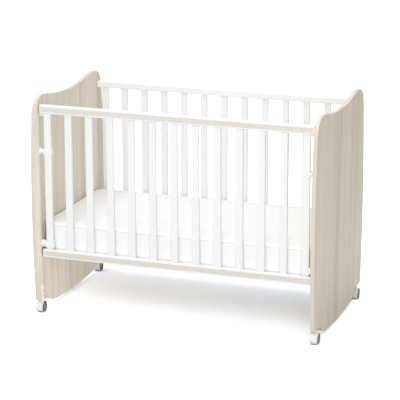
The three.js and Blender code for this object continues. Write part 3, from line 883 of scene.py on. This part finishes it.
def addWheels(x, y, word, node):
    # each wheel is a tread, a rounded section turned about the axle, on a dished hub with a boss
    w = wheel
    halfWidth = caster["halfWidth"]
    centre = (x, y - caster["trail"], w["radius"])
    middle = halfWidth - w["width"] / 2
    section = roundedRing(w["treadDepth"] / 2, w["width"] / 2, w["treadRound"], w["treadCorner"])
    radii = (section[:, 0] + w["radius"] - w["treadDepth"] / 2)[:, None, None]
    inner, outer = halfWidth - w["width"] + w["hubInset"], halfWidth - w["hubInset"]
    edge = w["radius"] - w["treadDepth"] + w["hubLap"]
    lip, dish = edge - w["hubLip"], outer - w["hubDish"]
    boss, (bossIn, bossDown) = w["hubBoss"], w["bossChamfer"]
    profile = np.array([
        (w["bore"], inner), (edge, inner), (edge, outer), (lip, outer),
        (lip - w["hubSlope"], dish), (boss + w["hubSlope"], dish),
        (boss, outer - bossDown), (boss - bossIn, outer),
        (w["axleRadius"] + w["boreChamfer"], outer),
    ])
    treads, hubs = [], []
    for way in (-1, 1):
        heights = (section[:, 1] + way * middle)[:, None]
        rings = inPlane(circle(1.0, w["around"]) * radii, heights, "X") + centre
        treads.append(ringShell(rings, wrap=True))
        hubs.append(turned(profile * (1, way), centre, "X", w["around"]))
    reach, r, chamfer = halfWidth - w["axleInset"], w["axleRadius"], w["axleChamfer"]
    axle = [(r - chamfer, -reach), (r, chamfer - reach), (r, reach - chamfer), (r - chamfer, reach)]
    axles = [turned(axle, centre, "X", w["axleAround"])]
    addCasterPiece(
        "Wheels", word, node, treads + hubs + axles, [tyreRubber, wheelNylon, zinc],
        slotNumbers(treads, hubs, axles),
    )


for end, row in ((-1, "Front"), (1, "Rear")):
    for side, hand in ((-1, "Left"), (1, "Right")):
        word, node = row + hand, f"{row}_{hand}".lower()
        addBracket(side, end, word, node)
        for addPart in (addStem, addHood, addWheels):
            addPart(side * caster["x"], end * caster["y"], word, node)
print("stage: casters made")


# Mattress
mattress = {
    "halfLength": 601, "halfDepth": 297.5, "bottom": 273.2, "corner": 40, "leastCorner": 8,
    "crown": 2.5, "crownPower": 3, "cellsLong": 100, "cellsShort": 50,
    # (inset, height over the bottom) from the sole round its edge, up the drawn-in side to the top
    "profile": (
        (14, 0), (8, 0.4), (3.6, 2.2), (1.2, 4.6), (0.2, 7), (0.2, 8.8), (3.8, 10), (0.2, 11.2),
        (0, 13), (0.6, 18), (1.6, 27), (2.3, 38), (2.6, 53), (2.6, 68), (2.3, 83), (1.6, 94),
        (0.6, 102), (0, 107.5), (0.2, 109.3), (3.8, 110.5), (0.2, 111.7), (0, 113.5), (0, 117),
        (0.4, 119.6), (1.6, 122), (3.6, 123.7), (6.6, 124.6), (14, 124.9),
    ),
    "seams": (10, 110.5), "seamGrip": 4,  # heights of the grooves, and how far a seam holds
    "pressure": 1.0, "frames": 20, "quality": 4, "mass": 0.3, "tension": 12, "bending": 1.5,
    "cap": 1.5, "room": (602, 298.7),  # the most a point moves, and half of the space there is
    "pucker": 0.15, "puckerReach": 20, "puckerLength": 34, "puckerFrom": 0.9, "turnPower": 12,
    "puckerWave": 0.6, "puckerDrift": (1.7, 0.23), "puckerRipple": (0.4, 1.73, 0.9),
    "pipingRadius": 1.9, "pipingSunk": 1.3, "pipingAround": 10, "pipingCorner": 16,
}


def evenRing(halfU, halfV, radius, cellsU, cellsV):
    # equal steps along each side of a rounded rectangle, from the middle of one corner to the next
    perCorner = 17
    outline = roundedRing(halfU, halfV, radius, perCorner)
    sides = []
    for k, cells in enumerate((cellsU, cellsV, cellsU, cellsV)):
        first = k * perCorner + perCorner // 2
        side = outline[np.arange(first, first + perCorner + 1) % len(outline)]
        steps = np.linalg.norm(np.diff(side, axis=0), axis=1)
        run = np.concatenate(([0], np.cumsum(steps)))
        at = np.linspace(0, run[-1], cells + 1)[:-1]
        sides.append(np.stack([np.interp(at, run, side[:, axis]) for axis in (0, 1)], -1))
    return np.concatenate(sides)


def gridIndex(cellsU, cellsV, ringStart, innerStart):
    # vertex numbers of a grid whose border is a ring: rows run along v, columns along u
    ring = ringStart + np.arange(2 * (cellsU + cellsV))
    inner = innerStart + np.arange((cellsU - 1) * (cellsV - 1))
    index = np.empty((cellsV + 1, cellsU + 1), int)
    index[1:-1, 1:-1] = inner.reshape(cellsV - 1, cellsU - 1)
    far, left = ring[:cellsU], ring[cellsU:cellsU + cellsV]
    near, right = ring[cellsU + cellsV:2 * cellsU + cellsV], ring[2 * cellsU + cellsV:]
    index[-1, 1:] = far[::-1]
    index[1:, 0] = left[::-1]
    index[0, :-1] = near
    index[:-1, -1] = right
    return index


def filledGrid(border, cellsU, cellsV):
    # transfinite interpolation: the blends of opposite sides, less the blend of the four corners
    index = gridIndex(cellsU, cellsV, 0, 0)
    v, u = (np.linspace(0, 1, n + 1) for n in (cellsV, cellsU))
    v, u = v[:, None, None], u[None, :, None]
    near, far = border[index[0]][None], border[index[-1]][None]
    left, right = border[index[:, 0]][:, None], border[index[:, -1]][:, None]
    corners = (
        (1 - v) * ((1 - u) * near[:, :1] + u * near[:, -1:])
        + v * ((1 - u) * far[:, :1] + u * far[:, -1:])
    )
    grid = (1 - v) * near + v * far + (1 - u) * left + u * right - corners
    return grid[1:-1, 1:-1].reshape(-1, 2)


def quadsOf(index):
    corners = index[:-1, :-1], index[:-1, 1:], index[1:, 1:], index[1:, :-1]
    return np.stack(corners, -1).reshape(-1, 4)


def mattressShell():
    # rings up the sides, closed by a grid of quads under the sole and a crowned one over the top
    m = mattress
    cells = m["cellsLong"], m["cellsShort"]
    around = 2 * sum(cells)
    rings = []
    for inset, _ in m["profile"]:
        corner = max(m["corner"] - inset, m["leastCorner"])
        rings.append(evenRing(m["halfLength"] - inset, m["halfDepth"] - inset, corner, *cells))
    heights = np.repeat([m["bottom"] + height for _, height in m["profile"]], around)
    walls = np.column_stack((np.concatenate(rings), heights))
    sole, top = filledGrid(rings[0], *cells), filledGrid(rings[-1], *cells)
    # the crown falls from the middle to nothing at the rim, as a power of the way out on each axis
    reach = np.array((m["halfLength"], m["halfDepth"])) - m["profile"][-1][0]
    crown = m["crown"] * (1 - (np.abs(top) / reach) ** m["crownPower"]).prod(1)
    sole = np.column_stack((sole, np.full(len(sole), heights[0])))
    top = np.column_stack((top, heights[-1] + crown))
    count = len(walls)
    soleFaces = quadsOf(gridIndex(*cells, 0, count))[:, ::-1]
    topFaces = quadsOf(gridIndex(*cells, count - around, count + len(sole)))
    faces = np.concatenate((ringQuads(len(rings), around), soleFaces, topFaces))
    return np.concatenate((walls, sole, top)) * mm, faces


def fromSeams(points):
    # each point's height above or below the nearer seam
    seams = (np.array(mattress["seams"]) + mattress["bottom"]) * mm
    return np.abs(points[:, 2, None] - seams).min(1)


def swollen(obj, rest):
    # cloth under pressure with the seams held, and no point moving further than the cap
    m = mattress
    seamEdge = np.flatnonzero(fromSeams(rest) < m["seamGrip"] * mm)
    group = obj.vertex_groups.new(name="seams")
    group.add(seamEdge.tolist(), 1.0, "REPLACE")
    cloth = obj.modifiers.new("cloth", "CLOTH")
    cloth.settings.quality = m["quality"]
    cloth.settings.mass = m["mass"]
    cloth.settings.tension_stiffness = m["tension"]
    cloth.settings.compression_stiffness = m["tension"]
    cloth.settings.bending_stiffness = m["bending"]
    cloth.settings.use_pressure = True
    cloth.settings.uniform_pressure_force = m["pressure"]
    cloth.settings.vertex_group_mass = "seams"
    cloth.settings.effector_weights.gravity = 0
    cloth.collision_settings.use_collision = False
    cloth.point_cache.frame_start, cloth.point_cache.frame_end = 1, m["frames"]
    for step in range(1, m["frames"] + 1):
        scene.frame_set(step)
    evaluated = obj.evaluated_get(bpy.context.evaluated_depsgraph_get())
    moved = np.empty(rest.size)
    evaluated.data.vertices.foreach_get("co", moved)
    shift = moved.reshape(-1, 3) - rest
    length = np.linalg.norm(shift, axis=1)[:, None]
    shift *= np.minimum(1, m["cap"] * mm / np.maximum(length, 1e-9))
    obj.modifiers.remove(cloth)
    obj.vertex_groups.remove(group)
    scene.frame_set(1)
    return rest + shift


def puckered(points):
    # the cover draws in by a wave along each seam, which fades away from it as a bell curve
    m = mattress
    reach = np.array((m["halfLength"], m["halfDepth"])) * mm
    share = np.abs(points[:, :2]) / reach
    outwards = np.sign(points[:, :2]) * share ** m["turnPower"]
    outwards /= np.maximum(np.linalg.norm(outwards, axis=1)[:, None], 1e-3)
    along = np.where(share[:, 0] > share[:, 1], points[:, 1], points[:, 0])
    turn = 2 * math.pi * along / (m["puckerLength"] * mm)
    # one sine that comes and goes, and a smaller, quicker one, so that it never repeats
    drift, driftRate = m["puckerDrift"]
    ripple, rippleRate, rippleStart = m["puckerRipple"]
    wave = 1 + m["puckerWave"] * np.sin(turn + drift * np.sin(turn * driftRate))
    wave += ripple * np.sin(turn * rippleRate + rippleStart)
    depth = m["pucker"] * mm * wave * np.exp(-(fromSeams(points) / (m["puckerReach"] * mm)) ** 2)
    depth *= share.max(1) > m["puckerFrom"]
    points[:, :2] -= outwards * depth[:, None]
    return points


def addMattress():
    points, faces = mattressShell()
    obj = newObject("mattressCover", points, faces.tolist(), [knit])
    points = swollen(obj, points)
    points = puckered(points)
    # flat on the base, and where it presses against the panels and the slats
    low = np.array([-mattress["room"][0], -mattress["room"][1], mattress["bottom"]]) * mm
    high = np.array([*mattress["room"], np.inf]) * mm
    mesh = obj.data
    mesh.vertices.foreach_set("co", np.clip(points, low, high).ravel())
    mesh.polygons.foreach_set("use_smooth", [True] * len(faces))
    mesh.update()
    smooth = obj.modifiers.new("smooth", "SUBSURF")
    smooth.levels = smooth.render_levels = 1
    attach(obj, "mattress")
    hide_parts("mattress")


def addPiping():
    # a thin round cord carried along the groove of each seam; its pale grey is painted shade, the
    # seam's shadow line
    m = mattress
    section = circle(m["pipingRadius"], m["pipingAround"])
    shells = []
    for height in m["seams"]:
        rings = []
        for out, rise in section - (m["pipingSunk"], 0):
            sizes = [m[k] + out for k in ("halfLength", "halfDepth", "corner")]
            ring = roundedRing(*sizes, m["pipingCorner"])
            rings.append(inPlane(ring, m["bottom"] + height + rise, "Z"))
        shells.append(scaled(ringShell(np.array(rings), wrap=True)))
    piping = makePiece("mattressPiping", shells, [seamShadeBinding], "mattress")


addMattress()
addPiping()
print("stage: mattress made")


# Floor, world and lamps, in metres; a lamp without an aim of its own faces the shared one
light = {
    "aim": (0, 0, 0.45),
    "key": {"place": (1.2, -5.8, 4), "size": 4.5, "power": 147},
    "low": {"place": (2.0, -6.3, 1), "size": 4.5, "power": 90},
    "above": {"place": (-1.4, -0.4, 6.2), "size": 3.4, "power": 144, "colour": (0.965, 0.985, 1)},
    "under": {
        "place": (0.4, -0.36, 0.13), "aim": (-0.6, 0.05, 0.15), "size": 0.25, "power": 4.2,
        "colour": (0.93, 0.97, 1),
    },
    "world": 0.56,  # what it lights the crib with; seen, or in a reflection, it is plain white
    # the floor's colour to the camera: over 1, so it is white where it is open and still shows
    # the shadow, and bluer against the warm light that the boards throw down
    "floorToCamera": (1.93, 2.05, 2.27),
    "floorToGloss": 1.8,  # in reflections
    "floorToLight": 0.55,  # for the light that it throws back
    "floorReach": 60,
}


def raysSeen(tree, path):
    # 1 for camera, glossy and transmission rays, 0 for the rays that carry light to other surfaces
    seen = path.outputs["Is Camera Ray"]
    for kind in ("Is Glossy Ray", "Is Transmission Ray"):
        values = {0: seen, 1: path.outputs[kind]}
        seen = addNode(tree, "ShaderNodeMath", values, operation="MAXIMUM").outputs[0]
    return seen


def addFloor():
    reach = light["floorReach"]
    corners = [(-reach, -reach, 0), (reach, -reach, 0), (reach, reach, 0), (-reach, reach, 0)]
    material = bpy.data.materials.new("white sweep")
    floor = newObject("floor", np.array(corners), [(0, 1, 2, 3)], [material])
    tree = emptyTree(material)
    path = addNode(tree, "ShaderNodeLightPath")
    colour = addNode(tree, "ShaderNodeMix", {
        0: raysSeen(tree, path),
        6: (*[light["floorToLight"]] * 3, 1), 7: (*[light["floorToGloss"]] * 3, 1),
    }, data_type="RGBA", clamp_result=False)
    colour = addNode(tree, "ShaderNodeMix", {
        0: path.outputs["Is Camera Ray"], 6: colour.outputs[2], 7: (*light["floorToCamera"], 1),
    }, data_type="RGBA", clamp_result=False)
    diffuse = addNode(tree, "ShaderNodeBsdfDiffuse", {"Color": colour.outputs[2]})
    addNode(tree, "ShaderNodeOutputMaterial", {"Surface": diffuse.outputs[0]})


def addWorld():
    scene.world = bpy.data.worlds.new("studio")
    tree = emptyTree(scene.world)
    path = addNode(tree, "ShaderNodeLightPath")
    level = addNode(tree, "ShaderNodeMapRange", {
        "Value": raysSeen(tree, path), "To Min": light["world"], "To Max": 1.0,
    })
    sky = addNode(tree, "ShaderNodeBackground", {
        "Color": (1, 1, 1, 1), "Strength": level.outputs[0],
    })
    addNode(tree, "ShaderNodeOutputWorld", {"Surface": sky.outputs[0]})


def addLamp(name, onlyOn=()):
    lamp = light[name]
    data = bpy.data.lights.new(name, "AREA")
    data.shape = "DISK"
    data.size = lamp["size"]
    data.energy = lamp["power"]
    data.color = lamp.get("colour", (1, 1, 1))
    obj = bpy.data.objects.new(name, data)
    scene.collection.objects.link(obj)
    obj.location = lamp["place"]
    aim = Vector(lamp.get("aim", light["aim"])) - Vector(lamp["place"])
    obj.rotation_euler = aim.to_track_quat("-Z", "Y").to_euler()
    obj.visible_camera = obj.visible_glossy = False
    if onlyOn:
        lit = bpy.data.collections.new(f"lit by {name}")
        for piece in onlyOn:
            lit.objects.link(bpy.data.objects[piece])
        obj.light_linking.receiver_collection = lit


addFloor()
addWorld()
for name in ("key", "low", "above"):
    addLamp(name)
# in the photograph the left panel and its fittings are as bright under the base as over it
addLamp("under", ("endPanelLeft", "casterBracketFrontLeft", "casterHoodRearLeft"))
scene.view_settings.view_transform = "Standard"
print("stage: floor and light made")
